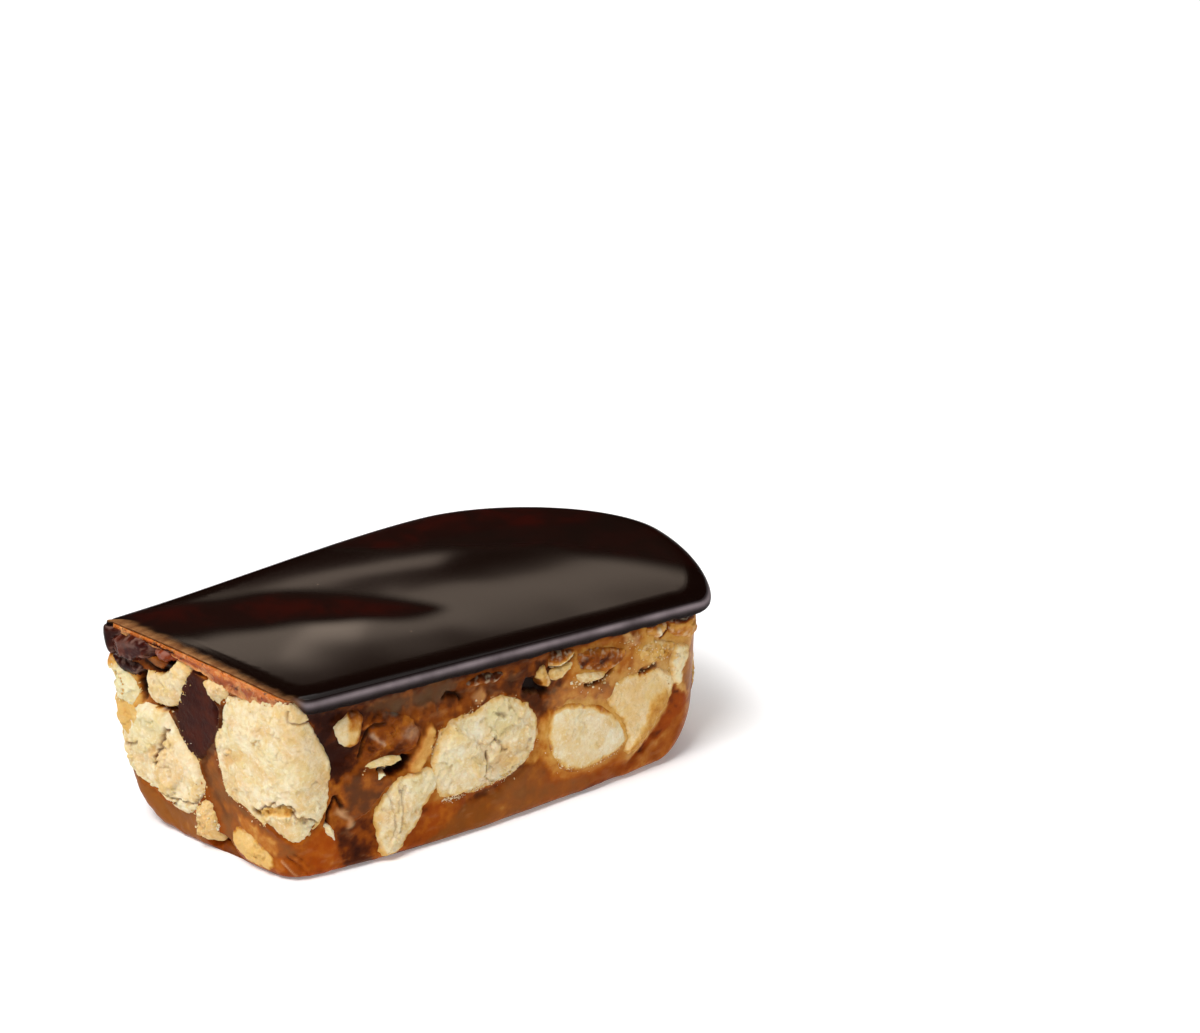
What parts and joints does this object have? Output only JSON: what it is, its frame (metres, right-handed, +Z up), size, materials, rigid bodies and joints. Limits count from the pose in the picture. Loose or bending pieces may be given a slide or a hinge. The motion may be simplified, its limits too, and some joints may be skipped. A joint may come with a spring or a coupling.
{
  "type": "peanut chew",
  "caption": "Cut piece of a bar sweet: peanuts in caramel under a toffee layer and a dark shiny glaze, square at the cut and rounded at the other end.",
  "frame": {"origin": "on the surface it rests on, under the middle of the sweet's box", "axes": "+X along the straight front edge towards the rounded end, +Y from the front towards the bowed back, +Z up through the glaze"},
  "size_m": [0.0448, 0.024, 0.0155],
  "materials": {
    "glaze": "very dark brown, glossy, smooth, faintly red where thin",
    "toffee": "orange-brown, satin, slightly rough where cut",
    "caramel": "translucent amber brown, satin to glossy, with pale hazy streaks",
    "dark_caramel": "dark purplish brown, satin",
    "peanut": "cream-yellow sliced peanut, chipped, oily sheen in places",
    "peanut_toasted": "toasted peanut seen through a thin coat of caramel, golden to brown"
  },
  "bodies": {
    "root": {"glaze": "glaze", "glaze_chunk": "glaze", "toffee_layer": "toffee", "caramel": "caramel", "dark_seam": "dark_caramel", "peanut_cut_large": "peanut", "peanut_cut_lower": "peanut", "peanut_cut_upper": "peanut", "peanut_cut_corner": "peanut", "peanut_front_tip": "peanut", "peanut_front_low": "peanut", "peanut_front_middle": "peanut", "peanut_front_right": "peanut", "peanut_front_chip": "peanut", "peanut_front_far": "peanut", "peanut_end_middle": "peanut", "peanut_end_low": "peanut", "peanut_back_left": "peanut", "peanut_back_high": "peanut", "peanut_back_middle": "peanut", "peanut_back_right": "peanut", "peanut_back_turn": "peanut", "peanut_cut_edge": "peanut_toasted", "peanut_cut_scrap": "peanut_toasted", "peanut_cut_foot": "peanut_toasted", "peanut_front_skin": "peanut_toasted", "peanut_front_husk": "peanut_toasted", "peanut_front_amber": "peanut_toasted", "peanut_end_front": "peanut_toasted", "peanut_back_low": "peanut_toasted", "peanut_back_chip": "peanut_toasted", "peanut_back_foot": "peanut_toasted"}
  },
  "joints": []
}
